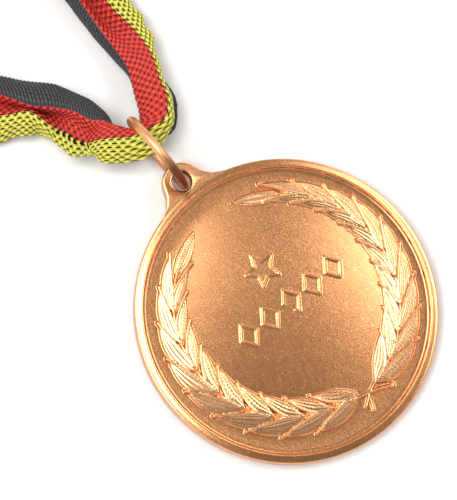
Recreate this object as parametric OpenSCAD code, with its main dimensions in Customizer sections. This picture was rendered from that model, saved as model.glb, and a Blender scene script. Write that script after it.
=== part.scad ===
// Struck award medal with a hanging ear, a wire ring and a woven neck ribbon.
// Millimetres, +Z up. The medal lies face up with its ear toward +Y.
// The far rim rests on Z = 0 and the ear is held up by the ring, which stands on edge.

/* [Medal] */
// outer diameter of the struck disc
medal_d = 50; // [30:1:80]
// thickness of the disc over its raised rims
rim_t = 3; // [2:0.1:5]
// width of the flat top of the front rim
rim_w = 1.5; // [0.8:0.1:3]
// depth of the front field below the rim
field_depth = 0.8; // [0.3:0.1:1.2]
// depth of the back field below the back rim
back_depth = 0.4; // [0.1:0.1:0.8]
// width of the hollow curve between the front rim and the field
cove_w = 1.4; // [0.5:0.1:3]
// width of the small bevel on the outer edges
edge_bevel = 0.25; // [0.1:0.05:0.6]

/* [Ear] */
// distance from the disc centre to the ear hole
ear_reach = 27; // [20:0.5:45]
// diameter of the ear hole
hole_d = 3.2; // [2:0.1:6]
// radius of the rounded ear tip
ear_tip_r = 3.3; // [2.5:0.1:6]
// radius of the hollow flank on each side of the ear
flank_r = 5; // [2:0.5:10]
// how far the ear lies below the front rim
ear_drop = 0.3; // [0:0.05:0.8]
// how far the ear lies inside the back rim plane
ear_back = 0.3; // [0:0.05:0.8]

/* [Relief] */
// height of the wreath above the field
wreath_h = 0.45; // [0.1:0.05:0.8]
// width of one leaf
leaf_w = 2.2; // [1:0.1:4]
// leaf pairs on each branch
leaf_pairs = 9; // [3:1:12]
// angle between leaf pairs on the right branch
pitch_right = 14.35; // [10:0.1:20]
// angle between leaf pairs on the left branch
pitch_left = 15.9; // [10:0.1:20]
// height of the emblem lines above the field
emblem_h = 0.3; // [0.1:0.05:0.6]
// width of the emblem lines
emblem_line = 0.5; // [0.3:0.1:1]

/* [Ring] */
// outer diameter of the wire ring
ring_d = 15; // [8:0.5:30]
// diameter of the ring wire
wire_d = 1.5; // [0.8:0.1:3]
// gap between the butted wire ends
ring_gap = 0.2; // [0.05:0.05:1]
// angle of the wire in the ear hole when it binds
wire_lean = 27; // [0:1:40]
// how far the standing ring leans over to the left
side_lean = 10; // [0:1:15]

/* [Ribbon] */
// width of the flat ribbon
ribbon_w = 15; // [8:1:30]
// outer diameter of the rolled-up ribbon
roll_d = 32; // [20:1:60]
// diameter of the open middle of the roll
roll_core_d = 3.6; // [2:0.2:20]

/* [Hidden] */
$fn = 96;

eps = 0.01;
medal_r = medal_d / 2;
half_t = rim_t / 2;
field_z = half_t - field_depth;
cove_r = medal_r - rim_w;
field_r = cove_r - cove_w;
back_rim_w = 1.6;

// The wire binds across the ear hole, a little toward the disc and the back.
ring_r = ring_d / 2 - wire_d / 2;
bind_in = 0.15;
bind_down = 0.2;
ring_out = ring_r * cos(wire_lean) - bind_in;
ring_up = ring_r * sin(wire_lean) - bind_down;
ring_rise = ring_up * cos(side_lean);
ring_x = -ring_up * sin(side_lean);
ring_z = ring_r * cos(side_lean) + wire_d / 2;

// The disc leans on its far edge and on the ring, which stands on Z = 0.
low_r = medal_r - edge_bevel;
prop_run = low_r + ear_reach + ring_out;
prop_rise = half_t + ring_rise;
medal_tilt = asin(ring_z / norm([prop_run, prop_rise])) - atan2(prop_rise, prop_run);
disc_z = low_r * sin(medal_tilt) + half_t * cos(medal_tilt);
ring_run = ring_out * cos(medal_tilt) - ring_rise * sin(medal_tilt);
hole_run = ear_reach * cos(medal_tilt);
far_run = medal_r * cos(medal_tilt) + (half_t - edge_bevel) * sin(medal_tilt);
disc_y = (far_run - hole_run - ring_run - ring_d / 2) / 2;
ring_y = disc_y + hole_run + ring_run;
ear_z0 = ear_back - half_t;
ear_z1 = half_t - ear_drop;

// Leaves: polar angles are clockwise from the ear, radii from the disc centre.
stem_r = 19;
leaf_tip_out = 21.6;
leaf_tip_in = 16.4;
leaf_run = 15;
first_tip = 27;
tip_leaf_angle = 12;
leaf_count_last = leaf_pairs - 1;
stem_w = 0.6;
leaf_root_gap = 0.8;
stem_end_right = 183;
stem_end_left = 175;
stem_steps = 36;

// Emblem: one star above a row of lozenges, drawn as raised lines.
star_y = 7.6;
star_x = 0.9;
star_r = 2.9;
star_waist = 1.25;
lozenge_count = 5;
lozenge_pitch = 4.5;
lozenge_x = 1.2;
lozenge_y = 0.7;
lozenge_w = 3.6;
lozenge_l = 4.6;

// Route of the ribbon: [x, y, z, width, thickness, twist from flat].
RIBBON = [
    [12.8, 97.5, 7.6, ribbon_w, 1.6, 90],
    [12.7, 88, 7.6, ribbon_w, 1.6, 88],
    [12.4, 78, 7.6, ribbon_w, 1.6, 76],
    [11.6, 69, 7.0, ribbon_w, 1.8, 50],
    [10.8, 60, 5.2, 14, 2.4, 20],
    [9.6, 50.5, 3.8, 12.5, 3.2, 0],
    [8.3, 42, 4, 10, 4, -5],
    [6.3, 35.5, 4.8, 7.4, 4.6, -5],
    [4.9, 31.2, 5.6, 6.6, 4.6, 0],
    [3.4, 28.4, 6.6, 6.2, 4, 0],
    [1.9, 27, 6.7, 6.2, 3.8, 0],
    [0, 26.8, 6.7, 6.4, 3.8, 0],
    [-1.9, 27, 6.7, 6.2, 3.8, 0],
    [-3.6, 28.8, 6.5, 6.6, 4, 0],
    [-6.7, 32.8, 5.8, 7.8, 4.4, 0],
    [-8.8, 37, 5, 10, 5, -5],
    [-11.6, 41.6, 4.6, 12, 4.8, -10],
    [-15.4, 47, 4.4, 13, 4, -10],
    [-18.4, 52.6, 5.4, 14, 2.8, -25],
    [-20.4, 58.5, 7.2, ribbon_w, 1.8, -55],
    [-20.8, 64.5, 7.6, ribbon_w, 1.6, -80],
    [-19.4, 71.5, 7.6, ribbon_w, 1.6, -90],
    [-15.6, 77.2, 7.6, ribbon_w, 1.6, -90],
    [-10.2, 80, 7.6, ribbon_w, 1.6, -90],
    [-4, 80.7, 7.6, ribbon_w, 1.6, -90]
];
roll_x = -4;
roll_y = 97.5;
roll_z = 0.1;
last_station = len(RIBBON) - 1;
section_sides = 8;

function unit(v) = v / norm(v);

function centre(i) = [RIBBON[i][0], RIBBON[i][1], RIBBON[i][2]];

function along(i) = unit(centre(min(i + 1, last_station)) - centre(max(i - 1, 0)));

function level(i) = unit(cross([0, 0, 1], along(i)));

function across(i) = cos(RIBBON[i][5]) * level(i) + sin(RIBBON[i][5]) * cross(along(i), level(i));

function facing(i) = cross(along(i), across(i));

function section(w, t) = [
    [-w * 0.5, -t * 0.15],
    [-w * 0.38, -t * 0.5],
    [w * 0.38, -t * 0.5],
    [w * 0.5, -t * 0.15],
    [w * 0.5, t * 0.15],
    [w * 0.38, t * 0.5],
    [-w * 0.38, t * 0.5],
    [-w * 0.5, t * 0.15]
];

function station_points(i) = [
    for (p = section(RIBBON[i][3], RIBBON[i][4])) centre(i) + p[0] * across(i) + p[1] * facing(i)
];

function polar(r, a) = [r * sin(a), r * cos(a)];

module medal_profile() {
    polygon([
        [0, field_z],
        [field_r, field_z],
        [field_r + cove_w * 0.5, field_z + field_depth * 0.22],
        [field_r + cove_w * 0.85, field_z + field_depth * 0.62],
        [cove_r, half_t],
        [medal_r - edge_bevel, half_t],
        [medal_r, half_t - edge_bevel],
        [medal_r, edge_bevel - half_t],
        [medal_r - edge_bevel, -half_t],
        [medal_r - back_rim_w, -half_t],
        [medal_r - back_rim_w - back_depth, back_depth - half_t],
        [0, back_depth - half_t]
    ]);
}

module ear_outline() {
    flank_x = 8.1;
    flank_y = 28.9;
    neck_w = 13.4;
    neck_y0 = 21.5;
    neck_y1 = 27.6;
    tip_y = ear_reach - 0.2;
    translate([0, tip_y]) circle(r = ear_tip_r);
    difference() {
        translate([-neck_w / 2, neck_y0]) square([neck_w, neck_y1 - neck_y0]);
        translate([flank_x, flank_y]) circle(r = flank_r);
        translate([-flank_x, flank_y]) circle(r = flank_r);
    }
}

module ear() {
    difference() {
        translate([0, 0, ear_z0]) linear_extrude(ear_z1 - ear_z0) ear_outline();
        // keeps the fields clear of the ear's root
        translate([0, 0, -half_t - 1]) cylinder(h = rim_t + 2, r = medal_r - rim_w * 0.8);
        translate([0, ear_reach, -half_t - 1]) cylinder(h = rim_t + 2, d = hole_d);
    }
}

// One leaf is a pointed outline with its base at the origin.
module leaf(len) {
    half_w = leaf_w / 2;
    linear_extrude(wreath_h + eps) polygon([
        [0, 0],
        [half_w * 0.75, len * 0.22],
        [half_w, len * 0.5],
        [half_w * 0.7, len * 0.8],
        [0, len],
        [-half_w * 0.7, len * 0.8],
        [-half_w, len * 0.5],
        [-half_w * 0.75, len * 0.22]
    ]);
}

module leaf_between(base, tip) {
    run = tip - base;
    translate([base[0], base[1], field_z - eps])
        rotate([0, 0, -atan2(run[0], run[1])]) leaf(norm(run));
}

// side is 1 for the right branch and -1 for the left branch
module branch(side, pitch) {
    for (i = [0:leaf_count_last]) {
        tip_a = side * (first_tip + i * pitch);
        base_a = tip_a + side * leaf_run;
        leaf_between(polar(stem_r + leaf_root_gap, base_a), polar(leaf_tip_out, tip_a));
        leaf_between(polar(stem_r - leaf_root_gap, base_a), polar(leaf_tip_in, tip_a));
    }
    leaf_between(polar(stem_r, side * (first_tip - 1)), polar(stem_r + 0.5, side * tip_leaf_angle));
}

// side as in branch, end_a is the angle where the cut end of the stem lies
module stem(side, end_a) {
    inner = stem_r - stem_w / 2;
    outer = stem_r + stem_w / 2;
    step_a = (end_a - first_tip) / stem_steps;
    translate([0, 0, field_z - eps]) linear_extrude(wreath_h * 0.8 + eps) polygon(concat(
        [for (k = [0:stem_steps]) polar(inner, side * (first_tip + k * step_a))],
        [for (k = [stem_steps:-1:0]) polar(outer, side * (first_tip + k * step_a))]
    ));
}

module lozenge(grow) {
    half_w = lozenge_w / 2 - grow;
    half_l = lozenge_l / 2 - grow * lozenge_l / lozenge_w;
    polygon([[0, half_l], [half_w, 0], [0, -half_l], [-half_w, 0]]);
}

module star(outer, waist) {
    polygon([for (k = [0:9]) (k % 2 == 0 ? outer : waist) * [sin(k * 36), cos(k * 36)]]);
}

module emblem() {
    row_start = lozenge_x - lozenge_pitch * (lozenge_count - 1) / 2;
    for (k = [0:lozenge_count - 1])
        translate([row_start + k * lozenge_pitch, lozenge_y, field_z - eps])
            linear_extrude(emblem_h + eps) difference() {
                lozenge(0);
                lozenge(emblem_line);
            }
    translate([star_x, star_y, field_z - eps]) linear_extrude(emblem_h + eps) difference() {
        star(star_r, star_waist);
        star(star_r - 2 * emblem_line, star_waist - emblem_line * 0.9);
    }
}

module medal_disc() {
    color("peru")
        translate([0, disc_y, disc_z]) rotate([medal_tilt, 0, 0]) {
            rotate_extrude() medal_profile();
            ear();
            branch(1, pitch_right);
            branch(-1, pitch_left);
            stem(1, stem_end_right);
            stem(-1, stem_end_left);
            emblem();
        }
}

module jump_ring() {
    color("sandybrown")
        translate([ring_x, ring_y, ring_z]) rotate([0, 90 - side_lean, 0]) difference() {
            rotate_extrude() translate([ring_r, 0]) circle(d = wire_d, $fn = 32);
            // the butt joint lies at the low far side, under the ribbon
            rotate([0, 0, 40]) translate([ring_r - wire_d, -ring_gap / 2, -wire_d])
                cube([2 * wire_d, ring_gap, 2 * wire_d]);
        }
}

module neck_ribbon() {
    points = [for (i = [0:last_station]) each station_points(i)];
    walls = [
        for (i = [0:last_station - 1], k = [0:section_sides - 1])
            let (a = i * section_sides + k)
            let (b = i * section_sides + (k + 1) % section_sides)
            [a, b, b + section_sides, a + section_sides]
    ];
    first_cap = [for (k = [section_sides - 1:-1:0]) k];
    last_cap = [for (k = [0:section_sides - 1]) last_station * section_sides + k];
    color("firebrick") polyhedron(points, concat(walls, [first_cap, last_cap]), convexity = 6);
}

module ribbon_roll() {
    color("darkred")
        translate([roll_x, roll_y, roll_z])
        rotate_extrude()
        translate([roll_core_d / 2, 0]) square([(roll_d - roll_core_d) / 2, ribbon_w]);
}

medal_disc();
jump_ring();
neck_ribbon();
ribbon_roll();
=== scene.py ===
import math

import bpy
import numpy as np
from mathutils import Matrix, Vector


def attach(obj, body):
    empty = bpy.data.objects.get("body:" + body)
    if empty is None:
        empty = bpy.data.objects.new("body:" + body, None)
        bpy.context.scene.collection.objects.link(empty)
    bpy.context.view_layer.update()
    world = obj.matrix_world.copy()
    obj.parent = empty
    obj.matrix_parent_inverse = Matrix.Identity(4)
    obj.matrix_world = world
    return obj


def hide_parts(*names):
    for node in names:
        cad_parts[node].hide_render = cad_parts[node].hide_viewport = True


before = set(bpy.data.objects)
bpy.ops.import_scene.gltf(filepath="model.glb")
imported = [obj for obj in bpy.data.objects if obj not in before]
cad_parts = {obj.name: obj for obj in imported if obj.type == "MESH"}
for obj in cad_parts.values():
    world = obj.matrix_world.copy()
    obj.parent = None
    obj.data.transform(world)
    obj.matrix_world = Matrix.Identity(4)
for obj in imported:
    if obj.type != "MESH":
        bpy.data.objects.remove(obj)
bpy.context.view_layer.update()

MM = 0.001

# ---------------------------------------------------------------- sizes, in millimetres
# as in the CAD model
MEDAL_R = 25.0
HALF_T = 1.5
BEVEL = 0.25
EAR_REACH = 27.0
EAR_TIP_R = 3.3
EAR_TIP_Y = 26.8
HOLE_R = 1.6
EAR_BACK = -1.2
RING_R = 6.75
WIRE_R = 0.75
WIRE_LEAN = math.radians(27)
SIDE_LEAN = math.radians(10)
BACK_FIELD_Z = -1.1
ROLL_X, ROLL_Y = -4.0, 97.5
RIBBON_W = 15.0

# the struck front, which has more shape here than in the CAD model
EAR_FRONT = 1.22
FIELD_Z = 0.6
DOME = 0.9
STEP_R = 23.4
RIM_FALL = 0.22

# The wire binds across the ear hole, a little toward the disc and the back.
# The disc leans on its far edge and on the ring.
BIND_IN = 0.15
BIND_DOWN = 0.2
ring_out = RING_R * math.cos(WIRE_LEAN) - BIND_IN
ring_up = RING_R * math.sin(WIRE_LEAN) - BIND_DOWN
ring_rise = ring_up * math.cos(SIDE_LEAN)
RING_X = -ring_up * math.sin(SIDE_LEAN)
RING_Z = RING_R * math.cos(SIDE_LEAN) + WIRE_R
prop_run = MEDAL_R - BEVEL + EAR_REACH + ring_out
prop_rise = HALF_T + ring_rise
TILT = math.asin(RING_Z / math.hypot(prop_run, prop_rise)) - math.atan2(prop_rise, prop_run)
ct, st = math.cos(TILT), math.sin(TILT)
DISC_Z = (MEDAL_R - BEVEL) * st + HALF_T * ct
ring_run = ring_out * ct - ring_rise * st
far_run = MEDAL_R * ct + (HALF_T - BEVEL) * st
DISC_Y = (far_run - EAR_REACH * ct - ring_run - RING_R - WIRE_R) / 2
RING_Y = DISC_Y + EAR_REACH * ct + ring_run

MEDAL_FRAME = Matrix.Translation((0, DISC_Y * MM, DISC_Z * MM)) @ Matrix.Rotation(TILT, 4, "X")


# ---------------------------------------------------------------- helpers
def smooth_step(e0, e1, x):
    t = np.clip((x - e0) / (e1 - e0), 0, 1)
    return t * t * (3 - 2 * t)


def bell(x, centre, width):
    return np.exp(-(((x - centre) / width) ** 2))


def new_mesh(name, verts_mm, faces, matrix=None, smooth=True):
    mesh = bpy.data.meshes.new(name)
    mesh.from_pydata([tuple(v) for v in (np.asarray(verts_mm) * MM).tolist()], [], faces)
    mesh.update()
    if matrix is not None:
        mesh.transform(matrix)
    mesh.polygons.foreach_set("use_smooth", [smooth] * len(mesh.polygons))
    obj = bpy.data.objects.new(name, mesh)
    bpy.context.collection.objects.link(obj)
    return obj


def set_wear_and_highlight(obj, values):
    """Store a 0 to 1 value at each vertex for bronze_material: paler for handling wear and painted highlight,
    with painted shade at the relief's foot.
    """
    layer = obj.data.attributes.new("wear_and_highlight", "FLOAT", "POINT")
    layer.data.foreach_set("value", np.asarray(values, np.float32))


def curve_through(points, params, t):
    """Catmull-Rom through points at rising params, read at t. points is (n, ...)."""
    points = np.asarray(points, float)
    params = np.asarray(params, float)
    slope = np.empty_like(points)
    span = np.diff(params)
    wide = span.reshape((-1,) + (1,) * (points.ndim - 1))
    chord = np.diff(points, axis=0) / wide
    slope[0], slope[-1] = chord[0], chord[-1]
    w0, w1 = wide[1:], wide[:-1]
    slope[1:-1] = (chord[:-1] * w0 + chord[1:] * w1) / (w0 + w1)
    k = np.clip(np.searchsorted(params, t, side="right") - 1, 0, len(params) - 2)
    h = span[k]
    s = (t - params[k]) / h
    shape = (-1,) + (1,) * (points.ndim - 1)
    s, h = s.reshape(shape), h.reshape(shape)
    return (
        points[k] * (2 * s**3 - 3 * s**2 + 1)
        + slope[k] * h * (s**3 - 2 * s**2 + s)
        + points[k + 1] * (3 * s**2 - 2 * s**3)
        + slope[k + 1] * h * (s**3 - s**2)
    )


class LoopMesh:
    """Vertices and faces of a closed mesh, built from closed loops of points."""

    def __init__(self):
        self.verts = []
        self.faces = []

    def add_loop(self, x, y, z):
        start = len(self.verts)
        self.verts.extend(np.stack([x, y, np.broadcast_to(z, x.shape)], 1).tolist())
        return start

    def add_point(self, z):
        return self.add_loop(np.array([0.0]), np.array([0.0]), z)

    def band(self, a, b, n):
        """Quads between loop a and loop b, both of n points."""
        for j in range(n):
            k = (j + 1) % n
            self.faces.append((b + j, b + k, a + k, a + j))


# ---------------------------------------------------------------- medal relief
PROUD = 1.15
LEAF_TOP = 0.5
LINE_HEIGHT = 0.18


def polar(r, deg):
    a = math.radians(deg)
    return np.array([r * math.sin(a), r * math.cos(a)])


def leaf_height(x, y, base, tip, width, bend, rise):
    """Height of one struck leaf over the field: raised outline, midrib, side veins and fine hatching."""
    axis = tip - base
    length = float(np.hypot(*axis))
    axis = axis / length
    dx, dy = x - base[0], y - base[1]
    s = (dx * axis[0] + dy * axis[1]) / length
    q = -dx * axis[1] + dy * axis[0]
    q = q - bend * length * 4 * s * (1 - s)
    sc = np.clip(s, 0.001, 0.999)
    half = 0.5 * width * np.sin(math.pi * sc**0.85) ** 0.75 + 0.04
    t = np.abs(q) / half
    near = (s > -0.02) & (s < 1.02) & (t < 1.25)
    s, t, sc, q = s[near], t[near], sc[near], q[near]
    body = 0.30 * np.clip(1 - t**2.6, 0, 1) ** 0.5
    edge = 0.13 * bell(t, 0.86, 0.13)
    rib = 0.17 * bell(q, 0, 0.15) * smooth_step(0, 0.1, sc)
    vein = 0.055 * bell(t, 0.45, 0.13) * smooth_step(0.08, 0.3, sc) * smooth_step(1, 0.8, sc)
    waves = np.sin(2 * math.pi * (sc * length + 0.5 * np.abs(q)) / 0.42)
    hatch = 0.022 * waves * np.clip(1 - (t - 0.45) ** 2 * 6, 0, 1) * (t < 0.8)
    h = (body + edge + rib + vein + hatch) * (1 + rise * sc)
    h = h * smooth_step(1.22, 0.92, t) * smooth_step(-0.02, 0.05, s) * smooth_step(1.02, 0.97, s)
    out = np.zeros_like(x)
    out[near] = h
    return out


def line_height(x, y, points, width, height):
    """A raised round line along a polyline."""
    best = np.full_like(x, 9.0)
    for p, q in zip(points[:-1], points[1:]):
        p, q = np.asarray(p, float), np.asarray(q, float)
        d = q - p
        t = np.clip(((x - p[0]) * d[0] + (y - p[1]) * d[1]) / max(float(d @ d), 1e-9), 0, 1)
        best = np.minimum(best, np.hypot(x - p[0] - t * d[0], y - p[1] - t * d[1]))
    return height * smooth_step(width * 0.62, width * 0.12, best)


# Each branch: its side, the angle of the first leaf's tip and the pitch in degrees. Then the radii of the
# outer tips, inner tips and stem at its first, middle and last pair, and where its end leaf's tip is.
BRANCHES = [
    dict(
        side=1, first=27.2, pitch=14.35,
        out=(21.1, 22.0, 21.7), inn=(17.9, 16.4, 15.4), stem=(19.2, 18.9, 18.3),
        tip=12, tip_r=19.6,
    ),
    dict(
        side=-1, first=25.8, pitch=15.9,
        out=(21.2, 21.6, 20.6), inn=(17.3, 14.9, 14.4), stem=(19.1, 18.0, 17.4),
        tip=11.2, tip_r=19.8,
    ),
]
PAIRS = 9
LEAF_RUN = 28
INNER_RUN = 18
STEM_STEPS = 20


def along_branch(values, t):
    return np.interp(t, [0, 0.5, 1], values)


def leaf_row(h, a, d, reach, branch, ridge_run, bend):
    """One side of a branch. Each leaf has a raised edge that sweeps from the stem out to its tip.

    a is the angle along the branch in degrees, d the distance from the stem and reach the tips' distance.
    Leaves nearer the cut end lie over the ones before them.
    """
    for i in range(PAIRS):
        t = (a - branch["first"] - branch["pitch"] * i) / LEAF_RUN
        tc = np.clip(t, 0, 1)
        ridge = reach * np.clip(1 - tc * LEAF_RUN / ridge_run, 0, 1) ** bend
        outer = reach * (1 - tc**3.5) * (1 + 0.05 * np.sin(math.pi * tc))
        v = (d - ridge) / np.maximum(outer - ridge, 0.02)
        # the blade slopes down from its raised edge, with three veins and a fine hatching
        body = 0.40 - 0.26 * v + 0.05 * np.sin(math.pi * np.clip(v, 0, 1))
        body = body + 0.055 * sum(bell(v, vein, 0.06) for vein in (0.3, 0.55, 0.78))
        body = body + 0.010 * np.sin(2 * math.pi * (d + 9 * t) / 0.4)
        body = body * smooth_step(0, 0.28, outer - d) * smooth_step(0, 0.1, t)
        edge = LEAF_TOP * smooth_step(0.30, 0.10, np.abs(d - ridge) / 1.22) * smooth_step(-0.045, -0.015, t)
        edge = edge * (ridge > 0.02)
        leaf = np.where(v > 0, np.maximum(body, edge), edge)
        over = (t > -0.045) & (t < 1) & (d > 0) & (d < outer + 0.3) & (leaf > 0.02)
        h = np.where(over, leaf, h)
    return h


def branch_height(h, x, y, branch):
    """One branch laid over h: outer and inner leaves, an end leaf and the stem."""
    side, first = branch["side"], branch["first"]
    radius = np.hypot(x, y)
    a = side * np.degrees(np.arctan2(x, y))
    t = (a - first) / (branch["pitch"] * (PAIRS - 1))
    r_stem = along_branch(branch["stem"], t)
    d = radius - r_stem
    h = leaf_row(h, a, d, along_branch(branch["out"], t) - r_stem, branch, LEAF_RUN, 2.5)
    h = leaf_row(h, a, -d, r_stem - along_branch(branch["inn"], t), branch, INNER_RUN, 1.2)
    base = polar(branch["stem"][0], side * (first + 9))
    tip = polar(branch["tip_r"], side * branch["tip"])
    h = np.maximum(h, leaf_height(x, y, base, tip, 2.2, side * 0.02, 0.2))
    stem_sweep = branch["pitch"] * PAIRS + 2
    shares = [k / STEM_STEPS for k in range(STEM_STEPS + 1)]
    stem_line = [polar(along_branch(branch["stem"], s), side * (first + stem_sweep * s)) for s in shares]
    return np.maximum(h, line_height(x, y, stem_line, 0.45, 0.36))


def wreath_height(x, y):
    h = np.zeros_like(x)
    for branch in BRANCHES:
        h = branch_height(h, x, y, branch)
    # the branches cross: one stem ends in a cut knob, the other is split into two tails
    left_stem = [polar(17.4, -169), polar(18.2, -177), (1.6, -18.7), (3.4, -19.3), (5.1, -20.1)]
    right_stem = [polar(18.3, 156), (4.6, -17.6), (2.6, -18.3), (1.3, -19.0), (-0.3, -20.2)]
    split = [(1.5, -18.9), (0.9, -20.0), (0.3, -21.4)]
    h = np.maximum(h, line_height(x, y, left_stem, 0.55, 0.45))
    h = np.maximum(h, line_height(x, y, right_stem, 0.5, 0.42))
    h = np.maximum(h, line_height(x, y, split, 0.4, 0.36))
    knob = np.hypot(x - 5.3, y + 20.2)
    return np.maximum(h, 0.5 * smooth_step(0.62, 0.2, knob) - 0.12 * smooth_step(0.25, 0.05, knob))


STAR_X, STAR_Y = 0.9, 7.6
STAR_TIP_R, STAR_WAIST_R = 2.9, 1.4
LOZENGES = 5
LOZENGE_X, LOZENGE_Y = 1.2, 0.7
LOZENGE_PITCH = 4.5
LOZENGE_HALF_W, LOZENGE_HALF_H = 1.6, 2.1


def emblem_height(x, y):
    """A star over a row of five lozenges, in raised lines."""
    star = []
    for k in range(11):
        r = STAR_TIP_R if k % 2 == 0 else STAR_WAIST_R
        a = math.radians(36 * k)
        star.append((STAR_X + r * math.sin(a), STAR_Y + r * math.cos(a)))
    h = line_height(x, y, star, 0.36, LINE_HEIGHT)
    for k in range(LOZENGES):
        cx = LOZENGE_X + LOZENGE_PITCH * (k - (LOZENGES - 1) / 2)
        top, bottom = (cx, LOZENGE_Y + LOZENGE_HALF_H), (cx, LOZENGE_Y - LOZENGE_HALF_H)
        right, left = (cx + LOZENGE_HALF_W, LOZENGE_Y), (cx - LOZENGE_HALF_W, LOZENGE_Y)
        h = np.maximum(h, line_height(x, y, [top, right, bottom, left, top], 0.46, LINE_HEIGHT))
    return h


HOLLOW_R = 19.5
HOLLOW_RISE = 0.36
STEP_RISE = 0.54


def front_profile(r):
    """Domed field, its hollow border, the step up to the rim and the rim's fall to the edge, at radius r."""
    z = FIELD_Z + DOME * np.clip(1 - (r / STEP_R) ** 2, 0, 1)
    z = z + HOLLOW_RISE * np.clip((r - HOLLOW_R) / (STEP_R - HOLLOW_R), 0, 1) ** 2
    z = z + STEP_RISE * smooth_step(STEP_R - 0.12, STEP_R + 0.3, r)
    return np.minimum(z, HALF_T - RIM_FALL * smooth_step(STEP_R + 0.2, MEDAL_R - BEVEL, r))


# ---------------------------------------------------------------- medal
DISC_SEGMENTS = 1056
EAR_SEGMENTS = 240
EMBLEM_END_R = 13.5
WREATH_START_R, WREATH_END_R = 13.0, 22.6
INNER_RADII = np.linspace(0.35, 14.0, 92)
OUTER_RADII = np.concatenate(
    [
        np.linspace(14.1, 22.1, 80),
        np.linspace(22.25, 23.3, 8),
        [23.38, 23.44, 23.5, 23.58, 23.7, 23.95, 24.3, 24.55, 24.7],
    ]
)
# radius and height round the outer edge and over the back, which has a narrow rim
EDGE_AND_BACK = [
    (24.82, 1.27), (24.92, 1.2), (24.98, 1.09), (25.0, 0.95), (25.0, 0.0), (25.0, -1.15),
    (24.97, -1.3), (24.88, -1.42), (24.75, -1.5), (24.2, -1.5), (23.6, -1.5), (23.45, -1.47),
    (23.2, -1.2), (23.0, -1.1), (18.0, -1.1), (10.0, -1.1), (3.0, -1.1),
]


def circle(radius, n):
    a = np.arange(n) * 2 * math.pi / n
    return radius * np.sin(a), radius * np.cos(a)


def front_loop(mesh, radius, n):
    """One loop of the struck front, with the relief that crosses it."""
    x, y = circle(radius, n)
    z = np.full(n, float(front_profile(np.array([radius]))[0]))
    if 1.0 < radius < EMBLEM_END_R:
        z = z + emblem_height(x, y)
    if WREATH_START_R < radius < WREATH_END_R:
        z = z + PROUD * wreath_height(x, y) * smooth_step(WREATH_END_R, 22.0, radius)
    return mesh.add_loop(x, y, z)


def add_disc(mesh):
    n = DISC_SEGMENTS
    half = n // 2
    centre = mesh.add_point(front_profile(np.array([0.0])))
    last = None
    for radius in INNER_RADII:
        loop = front_loop(mesh, radius, half)
        if last is None:
            mesh.faces.extend([(loop + j, loop + (j + 1) % half, centre) for j in range(half)])
        else:
            mesh.band(last, loop, half)
        last = loop
    # from here outwards each loop has twice as many points
    loop = front_loop(mesh, OUTER_RADII[0], n)
    for j in range(half):
        a, b = last + j, last + (j + 1) % half
        c0, c1, c2 = loop + 2 * j, loop + 2 * j + 1, loop + (2 * j + 2) % n
        mesh.faces.append((c1, c2, b, a))
        mesh.faces.append((c0, c1, a))
    last = loop
    for radius in OUTER_RADII[1:]:
        loop = front_loop(mesh, radius, n)
        mesh.band(last, loop, n)
        last = loop
    for radius, z in EDGE_AND_BACK:
        loop = mesh.add_loop(*circle(radius, n), z)
        mesh.band(last, loop, n)
        last = loop
    back = mesh.add_point(BACK_FIELD_Z)
    mesh.faces.extend([(back, last + (j + 1) % n, last + j) for j in range(n)])


FLANK_X, FLANK_Y, FLANK_R = 8.1, 28.9, 5.0
ROOT_LOW, ROOT_HIGH = 21.5, 27.6
ROOT_HALF_W, NECK_HALF_W = 7.2, 6.9


def in_ear(x, y):
    """The ear's outline: a round tip, and a root with hollow flanks that runs into the rim."""
    if math.hypot(x, y - EAR_TIP_Y) < EAR_TIP_R:
        return True
    outside_flank = math.hypot(abs(x) - FLANK_X, y - FLANK_Y) > FLANK_R
    in_root = ROOT_LOW < y < ROOT_HIGH and abs(x) < ROOT_HALF_W
    return in_root and outside_flank and (math.hypot(x, y) < MEDAL_R or abs(x) < NECK_HALF_W)


def ear_reach(dx, dy):
    """How far the ear goes from the hole's axis in one direction, in steps of 0.02 mm."""
    reach = 1.7
    while reach < 9.0:
        x, y = dx * reach, EAR_REACH + dy * reach
        if not in_ear(x, y) or math.hypot(x, y) < 24.3:
            break
        reach += 0.02
    return reach


def add_ear(mesh):
    """A plate with rounded edges and a hole, sunk into the rim at its root."""
    n = EAR_SEGMENTS
    dirx, diry = circle(1.0, n)
    outer = np.array([ear_reach(dx, dy) for dx, dy in zip(dirx, diry)])
    span = outer - HOLE_R
    loops = [(outer - inset, z) for inset, z in ((0.0, 0.98), (0.04, 1.1), (0.12, 1.18), (0.28, EAR_FRONT))]
    loops += [(HOLE_R + 0.3 + (span - 0.58) * share, EAR_FRONT) for share in (0.8, 0.55, 0.3)]
    hole = ((0.3, EAR_FRONT), (0.14, 1.19), (0.05, 1.1), (0.0, 0.95), (0.0, 0.0), (0.0, -1.0), (0.08, -1.14))
    loops += [(np.full(n, HOLE_R + inset), z) for inset, z in hole + ((0.25, EAR_BACK),)]
    loops += [(HOLE_R + 0.25 + (span - 0.5) * 0.5, EAR_BACK)]
    loops += [(outer - inset, z) for inset, z in ((0.25, EAR_BACK), (0.08, -1.14), (0.0, -1.0), (0.0, 0.0))]
    starts = [mesh.add_loop(dirx * rad, EAR_REACH + diry * rad, z) for rad, z in loops]
    for a, b in zip(starts, starts[1:] + starts[:1]):
        mesh.band(a, b, n)


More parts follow.
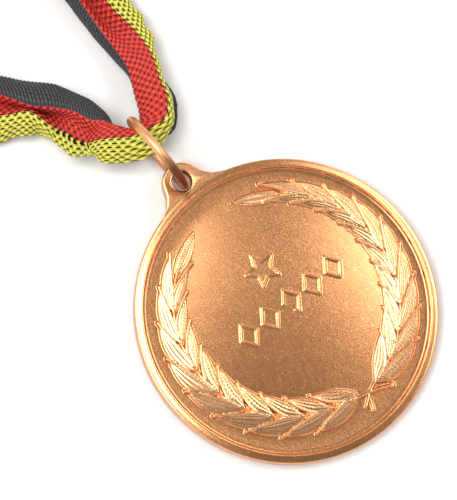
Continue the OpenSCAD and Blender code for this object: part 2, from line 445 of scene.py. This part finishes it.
def build_medal():
    mesh = LoopMesh()
    add_disc(mesh)
    add_ear(mesh)
    obj = new_mesh("medal", mesh.verts, mesh.faces, MEDAL_FRAME)
    # what stands proud is handled most and is paler, partly as handling wear and partly as painted highlight:
    # the leaves and the emblem; the rim a little, as painted highlight
    x, y, z = np.array(mesh.verts).T
    r = np.hypot(x, y)
    proud = np.where(r < WREATH_END_R, (z - front_profile(r)) / LEAF_TOP, 0)
    rim = 0.45 * smooth_step(WREATH_END_R, STEP_R, r)
    set_wear_and_highlight(obj, np.where(z > 0, np.clip(np.maximum(proud, rim), 0, 1), 0))
    return obj


# ---------------------------------------------------------------- ring
RING_SEGMENTS = 220
WIRE_SEGMENTS = 28
JOINT_ANGLE = math.radians(-50)
JOINT_HALF_GAP = math.radians(1.0)


def build_ring():
    """A wire ring with a narrow butt joint at its low far side, standing on edge."""
    n, m = RING_SEGMENTS, WIRE_SEGMENTS
    verts, faces = [], []
    for i in range(n + 1):
        a = JOINT_ANGLE + JOINT_HALF_GAP + 2 * (math.pi - JOINT_HALF_GAP) * i / n
        wire_r = WIRE_R * (0.96 if i in (0, n) else 1.0)
        for j in range(m):
            b = 2 * math.pi * j / m
            sideways = wire_r * math.cos(b)
            from_axis = RING_R + wire_r * math.sin(b)
            high = from_axis * math.sin(a)
            lean_x = sideways * math.cos(SIDE_LEAN) - high * math.sin(SIDE_LEAN)
            lean_z = sideways * math.sin(SIDE_LEAN) + high * math.cos(SIDE_LEAN)
            verts.append((RING_X + lean_x, RING_Y + from_axis * math.cos(a), RING_Z + lean_z))
    for i in range(n):
        for j in range(m):
            p, q = i * m + j, i * m + (j + 1) % m
            faces.append((p, q, q + m, p + m))
    faces.append(tuple(range(m - 1, -1, -1)))
    faces.append(tuple(range(n * m, (n + 1) * m)))
    obj = new_mesh("wire_ring", verts, faces)
    set_wear_and_highlight(obj, np.full(len(verts), 0.65))
    return obj


# ---------------------------------------------------------------- ribbon
SECTION_STEP = 2.5
SECTION_POINTS = 7


def tilted(tilt_deg, z_mid):
    """A flat section turned about its middle: 0 lies flat, 90 stands on edge with the black edge up."""
    t = math.radians(tilt_deg)
    half = RIBBON_W / 2
    across = [SECTION_STEP * k for k in range(SECTION_POINTS)]
    return [((a - half) * math.cos(t), z_mid + (half - a) * math.sin(t)) for a in across]


ON_EDGE = tilted(90, 7.6)

# Each station: x, y, heading in degrees, then seven (side, height) points from the black edge to the
# yellow edge, about 2.5 mm of cloth apart. Side is measured to the left of the heading.
STRAND_A = [
    (11.6, 90, -90, ON_EDGE),
    (12, 82, -90, tilted(82, 7.6)),
    (12.2, 74, -91, tilted(62, 7.4)),
    (11.6, 66, -93, tilted(32, 5.4)),
    (10.9, 60, -92, [(-4.2, 1), (-5, 2.9), (-3.9, 4.7), (-1.8, 2.3), (0.3, 4.8), (3, 4.2), (5, 2.4)]),
    (10.4, 55, -91, [(-3, 0.7), (-4.5, 2.3), (-3.6, 4.6), (-1.7, 1.5), (0.3, 4.9), (2.6, 4.3), (4.2, 2.2)]),
    (9.8, 49, -91, [(-2.4, 0.8), (-4.2, 2.1), (-3.5, 4.6), (-1.7, 2.1), (0.4, 5.1), (2.9, 4.5), (4.1, 2.6)]),
    (9.3, 43.5, -93, [(-1.4, 0.8), (-3.6, 1.9), (-3.1, 4.4), (-1.2, 4.4), (1.1, 5.7), (2.8, 4.9), (3.4, 2.6)]),
    (7.9, 39, -100, [(0.6, 1), (-2, 2.2), (-2.4, 5.2), (-0.3, 6.1), (1.7, 6.3), (2.6, 4.6), (2.5, 2.4)]),
    (6.1, 35, -107, [(3.7, 1.8), (0.8, 1.8), (-2.2, 4.4), (-0.7, 6.6), (1.7, 7), (2.4, 5), (2.1, 3.2)]),
    (4.5, 31.6, -116, [(4.1, 2.2), (1.1, 2.1), (-2.2, 4.6), (-0.8, 7.2), (1.9, 7.7), (2.6, 5.7), (2.2, 3.8)]),
    (2.7, 29.2, -140, [(2.8, 3), (0.2, 2.8), (-2.3, 5.2), (-1.3, 7.8), (0.8, 8.6), (2.1, 6.8), (2.1, 4.6)]),
]
STRAND_B = [
    (0, 28.1, 176, [(0.6, 5), (-1.3, 4.3), (-2.4, 5.8), (-2.2, 7.9), (-0.9, 8.9), (1.1, 7.7), (2.3, 5.4)]),
    (-2.5, 29.3, 145, [(0.9, 4.8), (-0.9, 4.3), (-1.6, 6), (-1.5, 8), (-0.4, 8.7), (1.6, 7.3), (2.9, 5)]),
    (-4.2, 31.1, 134, [(0.2, 4.4), (-1.4, 4.5), (-1.9, 6.2), (-1.6, 7.9), (0, 8.2), (2.1, 6.7), (3.3, 4.4)]),
    (-5.8, 32.4, 132, [(-4.3, 3.4), (-4.1, 5.6), (-2.7, 7.3), (-1.5, 7.9), (0, 7.6), (1.6, 5.8), (2.3, 3.4)]),
    (-8.2, 33.9, 132, [(-7.3, 4.6), (-5.7, 6.5), (-3.7, 7.3), (-2.6, 5.1), (-0.2, 5.2), (1.6, 4.2), (0.3, 6.5)]),
    (-9.8, 36.2, 132, [(-8, 4.6), (-6.4, 6.4), (-4.3, 7.4), (-3.8, 4.8), (-0.7, 4.2), (1.4, 3.4), (-0.4, 5.9)]),
    (-10.3, 38.3, 132, [(-7.6, 4), (-5.9, 5.8), (-3.6, 6.9), (-3.4, 3.2), (-0.6, 4), (1, 2.6), (-0.3, 4.9)]),
    (-10.9, 40.4, 132, [(-7.1, 4.2), (-5.2, 5.9), (-2.7, 6.8), (-2.8, 1.9), (0, 5.1), (0.6, 3), (0.5, 0.9)]),
    (-12, 43.6, 132, [(-5.7, 3.6), (-3.8, 5.6), (-1.3, 6.4), (-2, 1.6), (0, 5.5), (1.6, 4.4), (2.6, 2)]),
    (-14.7, 45.3, 132, [(-6.8, 3), (-4.9, 4.9), (-2.9, 5.8), (-2.7, 1.9), (0, 5.2), (1.9, 4.2), (3.2, 1.6)]),
    (-17.6, 47.6, 131, [(-7.8, 2.4), (-6, 3.9), (-4.2, 4.9), (-2.8, 2.6), (0, 4.6), (2.1, 3.4), (3.8, 1.4)]),
    (-20, 52.5, 118, [(-7.4, 5.2), (-5.4, 5.2), (-3.4, 4.9), (-1.2, 4.2), (0.8, 3.4), (2.6, 2.2), (3.8, 1)]),
    (-20.8, 59, 96, tilted(52, 6.4)),
    (-20.6, 66, 82, tilted(80, 7.5)),
    (-18.6, 73, 64, ON_EDGE),
    (-15, 78.8, 44, ON_EDGE),
    (-10.4, 82.2, 22, ON_EDGE),
]

# the roll: a doubled ribbon on its edge, wound in towards its core
TURN_PITCH = 2.4
ROLL_START = 15.3
TURNS = 5.4
STATION_SWEEP = 12


def spiral(start_deg, start_r, outward):
    """Stations of the doubled ribbon wound on its edge, from outside in, or from the core out."""
    sweep = 360 * TURNS - start_deg
    steps = int(sweep / STATION_SWEEP)
    quarter = -90 if outward else 90
    stations = []
    for k in range(steps + 1):
        phi = start_deg + sweep * k / steps
        r = start_r - TURN_PITCH * phi / 360
        p = math.radians(phi)
        stations.append((ROLL_X + r * math.cos(p), ROLL_Y + r * math.sin(p), phi + quarter, ON_EDGE))
    return stations[::-1] if outward else stations


def station_points(x, y, heading, section):
    h = math.radians(heading)
    nx, ny = -math.sin(h), math.cos(h)
    return [(x + nx * s, y + ny * s, z) for s, z in section]


# the weave: warp ends across the ribbon, the length of a float, and the slanting ribs of the black stripe
ENDS = 24
FLOAT_PITCH = 1.25
RIB_PITCH = 0.64
RIB_SHIFT = 0.5


def warp_floats(across, along):
    """How high the warp stands at a place in the cloth, 0 in a gap to 1 on a float."""
    end = across * ENDS / RIBBON_W
    parity = np.mod(np.floor(end), 2)
    da = np.abs(2 * (end - np.floor(end)) - 1)
    pick = along / FLOAT_PITCH + 0.5 * parity
    db = np.abs(2 * (pick - np.floor(pick)) - 1)
    own = (1 - 0.8 * da**2) * (1 - db**4)
    beside = np.clip(1 - ((2 - da) / 1.35) ** 2, 0, 1) * (1 - (1 - db) ** 4)
    brick = np.clip(np.maximum(own, beside), 0, 1) ** 0.8
    # the black stripe is woven in slanting ribs
    pick = along / RIB_PITCH + RIB_SHIFT * end
    rib = np.abs(2 * (pick - np.floor(pick)) - 1)
    ribs = 0.65 + 0.7 * (0.5 - rib)
    return np.where(across < RIBBON_W / 3, ribs, brick)


# the cloth's grid: columns across it, and the step along it in the free stretch and in the roll
COLUMNS = 121
FINE_STEP = 0.183
COARSE_STEP = 1.7
HALF_THICK = 0.34
FLOAT_RISE = 0.34
FLOAT_MEAN = 0.65


def ribbon_surface():
    """The cloth's middle surface, places across and along it, and where its weave is in relief.

    The weave is in relief in the free stretch and smooth in the roll.
    """
    roll_out = spiral(8, ROLL_START, True)
    stations = roll_out + STRAND_A + STRAND_B + spiral(-90, ROLL_START - TURN_PITCH / 2, False)
    grid = np.array([station_points(*s) for s in stations])
    middle = grid[:, SECTION_POINTS // 2]
    run = np.concatenate([[0], np.cumsum(np.linalg.norm(np.diff(middle, axis=0), axis=1))])
    fine0 = run[len(roll_out) + 3]
    fine1 = run[len(roll_out) + len(STRAND_A) + 11]
    t = np.concatenate(
        [
            np.arange(0, fine0, COARSE_STEP),
            np.arange(fine0, fine1, FINE_STEP),
            np.arange(fine1, run[-1], COARSE_STEP),
            [run[-1]],
        ]
    )
    lines = curve_through(grid, run, t)
    knots = np.arange(SECTION_POINTS) * SECTION_STEP
    across = np.linspace(0, RIBBON_W, COLUMNS)
    surf = np.stack([curve_through(line, knots, across) for line in lines])
    # cloth length along the middle, so that the weave keeps its size
    step = np.linalg.norm(np.diff(surf[:, COLUMNS // 2], axis=0), axis=1)
    cloth = np.concatenate([[0], np.cumsum(step)])
    fine = smooth_step(fine0 - 2, fine0 + 2, t) * smooth_step(fine1 + 2, fine1 - 2, t)
    return surf, across, cloth, fine


def woven(surf, across, cloth, fine):
    """The cloth's front and back, with its thickness, floats, crinkled edges and small weft loops."""
    d_t = np.gradient(surf, axis=0)
    d_a = np.gradient(surf, axis=1)
    normal = np.cross(d_a, d_t)
    normal /= np.linalg.norm(normal, axis=2, keepdims=True) + 1e-12
    tangent = d_a / (np.linalg.norm(d_a, axis=2, keepdims=True) + 1e-12)
    toward, along, fine_rows = across[None, :] / RIBBON_W, cloth[:, None], fine[:, None]
    edge = np.minimum(across, RIBBON_W - across)
    thick = HALF_THICK * np.clip(edge / 0.4, 0.25, 1) ** 0.5
    lift = thick[None, :] + FLOAT_RISE * (warp_floats(across[None, :], along) - FLOAT_MEAN) * fine_rows
    crinkle = 0.16 * np.sin(along / 0.66 + 4 * toward) * smooth_step(0.62, 1.0, toward)
    crinkle = crinkle + 0.05 * np.sin(along / 0.85) * smooth_step(0.33, 0.0, toward)
    scrunch = np.sin(along / 1.13) * np.sin(along / 2.9 + 1.0)
    scrunch = scrunch + 0.6 * np.sin(along / 0.71 + 2.0) * np.sin(along / 4.1)
    crinkle = crinkle + 0.24 * scrunch * smooth_step(0.7, 0.92, toward)
    surf = surf + normal * (crinkle * fine_rows)[..., None]
    # the weft turns round the edges in small loops
    loops = 0.13 * np.clip(np.sin(2 * math.pi * along / FLOAT_PITCH), 0, 1) * fine_rows
    reach = smooth_step(0.5, 0.0, RIBBON_W - across) - 0.3 * smooth_step(0.5, 0.0, across)
    surf = surf + tangent * (loops * reach[None, :])[..., None]
    return surf + normal * lift[..., None], surf - normal * lift[..., None]


def closed_sheet(rows, cols):
    """Quads of a closed sheet: front, back, two long edges and two ends."""
    top = np.arange(rows * cols).reshape(rows, cols)
    low = top + rows * cols
    sides = [
        (top[:-1, :-1], top[:-1, 1:], top[1:, 1:], top[1:, :-1]),
        (low[:-1, :-1], low[1:, :-1], low[1:, 1:], low[:-1, 1:]),
        (top[:-1, 0], top[1:, 0], low[1:, 0], low[:-1, 0]),
        (top[:-1, -1], low[:-1, -1], low[1:, -1], top[1:, -1]),
        (top[0, :-1], low[0, :-1], low[0, 1:], top[0, 1:]),
        (top[-1, :-1], top[-1, 1:], low[-1, 1:], low[-1, :-1]),
    ]
    return np.concatenate([np.stack(corners, -1).reshape(-1, 4) for corners in sides]).tolist()


def build_ribbon():
    surf, across, cloth, fine = ribbon_surface()
    rows = len(cloth)
    top, bottom = woven(surf, across, cloth, fine)
    verts = np.concatenate([top.reshape(-1, 3), bottom.reshape(-1, 3)])
    obj = new_mesh("ribbon", verts, closed_sheet(rows, COLUMNS))
    mesh = obj.data
    corner = np.empty(len(mesh.loops), np.int32)
    mesh.loops.foreach_get("vertex_index", corner)
    u = np.tile(np.tile(across / RIBBON_W, rows), 2)[corner]
    v = np.tile(np.repeat(cloth / RIBBON_W, COLUMNS), 2)[corner]
    layer = mesh.uv_layers.new(name="Cloth")
    layer.data.foreach_set("uv", np.stack([u, v], 1).ravel().astype(np.float32))
    return obj, float(cloth[-1])


# ---------------------------------------------------------------- materials
class Shader:
    """A new material, with short names for the nodes used here."""

    def __init__(self, name):
        self.material = bpy.data.materials.new(name)
        self.material.use_nodes = True
        self.nodes = self.material.node_tree.nodes
        self.links = self.material.node_tree.links
        self.bsdf = self.nodes["Principled BSDF"]

    def plug(self, socket, value):
        """Put a number, a colour or another node's output into a socket."""
        if isinstance(value, tuple):
            socket.default_value = (*value, 1)
        elif isinstance(value, (int, float)):
            socket.default_value = value
        else:
            self.links.new(value, socket)

    def surface(self, **values):
        for name, value in values.items():
            self.plug(self.bsdf.inputs[name.replace("_", " ")], value)

    def place(self):
        return self.nodes.new("ShaderNodeTexCoord").outputs["Object"]

    def split(self, vector):
        node = self.nodes.new("ShaderNodeSeparateXYZ")
        self.links.new(vector, node.inputs[0])
        return node.outputs

    def math(self, operation, *values):
        node = self.nodes.new("ShaderNodeMath")
        node.operation = operation
        for socket, value in zip(node.inputs, values):
            self.plug(socket, value)
        return node.outputs[0]

    def add(self, a, b):
        return self.math("ADD", a, b)

    def times(self, a, b):
        return self.math("MULTIPLY", a, b)

    def fract(self, value):
        return self.math("FRACT", value)

    def from_middle(self, share):
        """0 in the middle of a cell to 1 at its ends, from a place in the cell of 0 to 1."""
        return self.math("ABSOLUTE", self.math("MULTIPLY_ADD", share, 2.0, -1.0))

    def mix(self, factor, a, b):
        node = self.nodes.new("ShaderNodeMix")
        node.data_type = "RGBA"
        for k, value in ((0, factor), (6, a), (7, b)):
            self.plug(node.inputs[k], value)
        return node.outputs[2]

    def ramp(self, value, low, high, to_low=0.0, to_high=1.0):
        """From to_low where the value is low to to_high where it is high, and no further."""
        node = self.nodes.new("ShaderNodeMapRange")
        names = ("Value", "From Min", "From Max", "To Min", "To Max")
        for name, number in zip(names, (value, low, high, to_low, to_high)):
            self.plug(node.inputs[name], number)
        return node.outputs["Result"]

    def noise(self, vector, scale, detail, roughness):
        node = self.nodes.new("ShaderNodeTexNoise")
        names = ("Vector", "Scale", "Detail", "Roughness")
        for name, value in zip(names, (vector, scale, detail, roughness)):
            self.plug(node.inputs[name], value)
        return node.outputs["Fac"]

    def bump(self, height, strength, distance):
        node = self.nodes.new("ShaderNodeBump")
        names = ("Height", "Strength", "Distance")
        for name, value in zip(names, (height, strength, distance)):
            self.plug(node.inputs[name], value)
        self.links.new(node.outputs["Normal"], self.bsdf.inputs["Normal"])


BRONZE_DARK = (0.68, 0.30, 0.125)
BRONZE_LIGHT = (0.80, 0.39, 0.17)
BRONZE_CLOUD = (0.52, 0.21, 0.09)
# paler bronze for handling wear and painted highlight
BRONZE_WEAR_AND_HIGHLIGHT = (1.0, 0.66, 0.38)
# painted shade in the recesses
BRONZE_RECESS_SHADE = (0.25, 0.12, 0.07)
BRONZE_FLECK = (1.0, 0.82, 0.62)
# painted shade for the wire in the ear hole and along its underside
BRONZE_WIRE_SHADE = (0.15, 0.05, 0.028)


def bronze_material(name, contrast, roughness, bump, shade_y_range=None):
    """Struck or drawn bronze. The last argument, when given, is the range of y, in metres, over which the wire
    is painted darker as shade.
    """
    s = Shader(name)
    place = s.place()
    grain = s.noise(place, 4200, 3.0, 0.65)
    cloud = s.noise(place, 260, 3.0, 0.55)
    mapping = s.nodes.new("ShaderNodeMapping")
    mapping.inputs["Rotation"].default_value = (0, 0, math.radians(-38))
    mapping.inputs["Scale"].default_value = (1.0, 0.3, 1.0)
    s.links.new(place, mapping.inputs["Vector"])
    streak = s.noise(mapping.outputs["Vector"], 2600, 2.0, 0.6)
    tone = s.add(s.times(grain, 0.72), s.times(streak, 0.28))
    spread = 0.14 / contrast
    colour = s.mix(s.ramp(tone, 0.5 - spread, 0.5 + spread), BRONZE_DARK, BRONZE_LIGHT)
    colour = s.mix(s.ramp(cloud, 0.3, 0.75), colour, s.mix(0.35, colour, BRONZE_CLOUD))
    # paler where the per-vertex value is high: handling wear, and painted highlight on the relief and rim
    wear_and_highlight_node = s.nodes.new("ShaderNodeAttribute")
    wear_and_highlight_node.attribute_name = "wear_and_highlight"
    wear_and_highlight = wear_and_highlight_node.outputs["Fac"]
    colour = s.mix(s.ramp(wear_and_highlight, 0.3, 1.9), colour, BRONZE_WEAR_AND_HIGHLIGHT)
    # painted shade: a darker line in the recesses at the foot of the relief
    recess_shade_mask = s.times(s.ramp(wear_and_highlight, 0.02, 0.08), s.ramp(wear_and_highlight, 0.42, 0.14))
    colour = s.mix(s.times(recess_shade_mask, 0.5), colour, BRONZE_RECESS_SHADE)
    fleck = s.noise(place, 3000, 1.0, 0.5)
    colour = s.mix(s.ramp(fleck, 0.71, 0.82), colour, BRONZE_FLECK)
    if shade_y_range:
        # painted shade: dark where the wire passes into the ear hole, and darker along its shaded underside
        at = s.split(place)
        hole_shade = s.times(s.ramp(at["Y"], *shade_y_range), 0.95)
        underside_shade = s.times(s.ramp(at["Z"], 0.0100, 0.0050), 0.3)
        colour = s.mix(s.math("MAXIMUM", hole_shade, underside_shade), colour, BRONZE_WIRE_SHADE)
    s.surface(Base_Color=colour, Metallic=1.0, Roughness=s.ramp(tone, 0.3, 0.7, *roughness))
    s.bump(tone, bump, 0.00006)
    return s.material


def hole_shade_material():
    # painted shade on the ear hole's wall, mottled at random
    s = Shader("dark hole wall")
    shade_mottle = s.noise(s.place(), 1400, 3.0, 0.6)
    colour = s.mix(shade_mottle, (0.11, 0.030, 0.016), (0.26, 0.08, 0.04))
    s.surface(Base_Color=colour, Metallic=1.0, Roughness=s.ramp(shade_mottle, -0.6, 1.4))
    return s.material


RED = (0.66, 0.018, 0.011)
YELLOW = (0.78, 0.75, 0.055)
BLACK = (0.022, 0.022, 0.025)
WEFT = (0.005, 0.004, 0.005)
RED_WEFT = (0.05, 0.006, 0.006)


def ribbon_material():
    s = Shader("woven ribbon")
    uv = s.nodes.new("ShaderNodeUVMap")
    uv.uv_map = "Cloth"
    at = s.split(uv.outputs["UV"])
    u, v = at["X"], at["Y"]
    is_red = s.math("GREATER_THAN", u, 1 / 3)
    is_yellow = s.math("GREATER_THAN", u, 2 / 3)
    only_red = s.math("SUBTRACT", is_red, is_yellow)
    ends = s.times(u, ENDS)
    picks = s.times(v, RIBBON_W / FLOAT_PITCH)
    parity = s.math("MODULO", s.math("FLOOR", ends), 2.0)
    da = s.from_middle(s.fract(ends))
    db = s.from_middle(s.fract(s.add(picks, s.times(parity, 0.5))))
    # the weft shows where a float ends, between the swollen middles of its neighbours
    gap_a = s.math("POWER", s.math("DIVIDE", da, 0.43), 2.0)
    gap_b = s.math("POWER", s.math("DIVIDE", s.math("SUBTRACT", 1.0, db), 0.6), 2.0)
    gap = s.times(s.add(gap_a, gap_b), s.math("MULTIPLY_ADD", only_red, 0.35, 1.0))
    cover = s.ramp(gap, 0.75, 1.15)
    # painted shade where a float sinks towards the weft, used below
    depth = s.ramp(gap, 0.6, 4.6)
    dye = s.mix(is_yellow, s.mix(is_red, BLACK, RED), YELLOW)
    fleck = s.noise(s.place(), 1800, 2.0, 0.6)
    light = s.mix(is_yellow, (0.95, 0.17, 0.12), (1.0, 0.98, 0.34))
    dye = s.mix(s.times(s.ramp(fleck, 0.35, 0.7), 0.25), dye, light)
    # the black stripe's slanting ribs: painted highlight along each rib and painted shade between them
    slant = s.add(s.times(v, RIBBON_W / RIB_PITCH), s.times(ends, RIB_SHIFT))
    rib = s.from_middle(s.fract(slant))
    ribbed = s.mix(s.ramp(rib, 0.3, 0.95), (0.080, 0.080, 0.086), (0.004, 0.004, 0.005))
    dye = s.mix(is_red, ribbed, dye)
    # painted highlight on a float's crown, and painted shade on its sides between its neighbours and where it
    # sinks towards the weft
    crown = s.times(s.ramp(da, 0.6, 0.1), s.ramp(db, 0.8, 0.2))
    pale = s.mix(is_yellow, (1.0, 0.19, 0.13), (1.0, 0.99, 0.36))
    dye = s.mix(s.times(crown, s.times(is_red, 0.45)), dye, pale)
    end_valley_shade = s.times(s.ramp(da, 0.5, 1.0), s.times(is_red, 0.75))
    dye = s.mix(end_valley_shade, dye, s.mix(0.8, dye, BLACK))
    dye = s.mix(depth, s.mix(0.7, dye, BLACK), dye)
    cover = s.math("MAXIMUM", cover, s.math("SUBTRACT", 1.0, is_red))
    colour = s.mix(cover, s.mix(only_red, WEFT, RED_WEFT), dye)
    # weft loops at the yellow edge and along the seam between red and yellow
    loop = s.math("GREATER_THAN", s.fract(picks), 0.5)
    at_edge = s.math("GREATER_THAN", u, 0.984)
    from_seam = s.math("ABSOLUTE", s.math("SUBTRACT", u, 0.6667))
    at_seam = s.math("LESS_THAN", from_seam, 0.008)
    colour = s.mix(s.times(s.math("MAXIMUM", at_edge, at_seam), loop), colour, WEFT)
    s.surface(Base_Color=colour, Roughness=0.5, Specular_IOR_Level=0.14, Sheen_Weight=0.02)
    s.bump(cover, 0.35, 0.0001)
    return s.material


# ---------------------------------------------------------------- camera
CAMERA_DISTANCE = 0.35


def place_camera():
    """The camera that sees what the photograph shows. Returns its right and up directions."""
    el, az, roll = math.radians(75.53), math.radians(203.78), math.radians(26.54)
    back = Vector((math.cos(el) * math.cos(az), math.cos(el) * math.sin(az), math.sin(el)))
    target = Vector((-0.95, 6.06, 3.0)) * MM
    right = Vector((0, 0, 1)).cross(back).normalized()
    up = back.cross(right)
    r = math.cos(roll) * right + math.sin(roll) * up
    u = -math.sin(roll) * right + math.cos(roll) * up
    data = bpy.data.cameras.new("camera")
    data.lens = 154.76
    data.sensor_width = 36
    data.sensor_fit = "AUTO"
    data.clip_start = 0.01
    cam = bpy.data.objects.new("camera", data)
    m = Matrix((r, u, back)).transposed().to_4x4()
    m.translation = target + back * CAMERA_DISTANCE
    cam.matrix_world = m
    bpy.context.collection.objects.link(cam)
    bpy.context.scene.camera = cam
    return r, u


right, up = place_camera()

# ---------------------------------------------------------------- stage and light
# the floor in millimetres, the lights in metres
FLOOR_HALF = 2000
LIGHT_HEIGHT = 0.5


def build_floor():
    s = Shader("floor")
    s.surface(Base_Color=(0.76, 0.76, 0.76), Roughness=0.8, Specular_IOR_Level=0.1)
    h = FLOOR_HALF
    floor = new_mesh("floor", [(-h, -h, 0), (h, -h, 0), (h, h, 0), (-h, h, 0)], [(0, 1, 2, 3)], smooth=False)
    floor.data.materials.append(s.material)


def light_tent():
    """Pale walls all round and a dim ceiling."""
    world = bpy.data.worlds.new("soft room")
    world.use_nodes = True
    nodes, links = world.node_tree.nodes, world.node_tree.links
    sky = nodes.new("ShaderNodeTexCoord")
    height = nodes.new("ShaderNodeSeparateXYZ")
    walls = nodes.new("ShaderNodeMapRange")
    for socket, value in (("From Min", 0.87), ("From Max", 0.50), ("To Min", 0.17), ("To Max", 1.05)):
        walls.inputs[socket].default_value = value
    background = nodes["Background"]
    background.inputs["Color"].default_value = (1.0, 0.92, 0.84, 1)
    links.new(sky.outputs["Generated"], height.inputs[0])
    links.new(height.outputs["Z"], walls.inputs["Value"])
    links.new(walls.outputs["Result"], background.inputs["Strength"])
    bpy.context.scene.world = world


flat_r = Vector((right.x, right.y, 0)).normalized()
flat_u = Vector((up.x, up.y, 0)).normalized()


def overhead(name, r, u, width, length, power):
    """A soft box that faces straight down. r and u are its place to the picture's right and top."""
    spot = flat_r * r + flat_u * u
    data = bpy.data.lights.new(name, "AREA")
    data.shape = "RECTANGLE"
    data.size, data.size_y = width, length
    data.energy = power
    light = bpy.data.objects.new(name, data)
    light.location = spot + Vector((0, 0, LIGHT_HEIGHT))
    light.rotation_euler = (spot - light.location).to_track_quat("-Z", "Y").to_euler()
    bpy.context.collection.objects.link(light)


build_floor()
light_tent()
overhead("box left side", -0.45, 0.05, 0.25, 0.40, 0.80)
overhead("box left near", -0.225, -0.15, 0.20, 0.18, 1.55)
overhead("box left", -0.225, 0.05, 0.20, 0.20, 1.20)
overhead("box far", -0.06, 0.11, 0.13, 0.14, 0.30)
overhead("box right", 0.30, 0.125, 0.17, 0.20, 0.90)
overhead("box right far", 0.30, 0.35, 0.17, 0.25, 0.50)

bpy.context.scene.view_settings.view_transform = "Standard"
bpy.context.scene.view_settings.look = "None"

# ---------------------------------------------------------------- build
medal = build_medal()
ring = build_ring()
ribbon, ribbon_length = build_ribbon()

medal.data.materials.append(bronze_material("struck bronze", 1.0, (0.21, 0.29), 0.14))
medal.data.materials.append(hole_shade_material())
to_medal = MEDAL_FRAME.inverted()
# the ear hole's wall gets the painted shade
for face in medal.data.polygons:
    spot = to_medal @ (face.center / MM)
    if math.hypot(spot.x, spot.y - EAR_REACH) < HOLE_R + 0.12:
        face.material_index = 1

# the last pair is the range of y, in metres, over which the wire is painted darker as shade towards the ear hole
ring.data.materials.append(bronze_material("bronze wire", 0.3, (0.37, 0.41), 0.01, (0.0240, 0.0206)))
ribbon.data.materials.append(ribbon_material())

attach(medal, "medal")
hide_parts("medal_disc")
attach(ring, "ring")
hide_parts("jump_ring")
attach(ribbon, "ribbon")
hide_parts("neck_ribbon", "ribbon_roll")
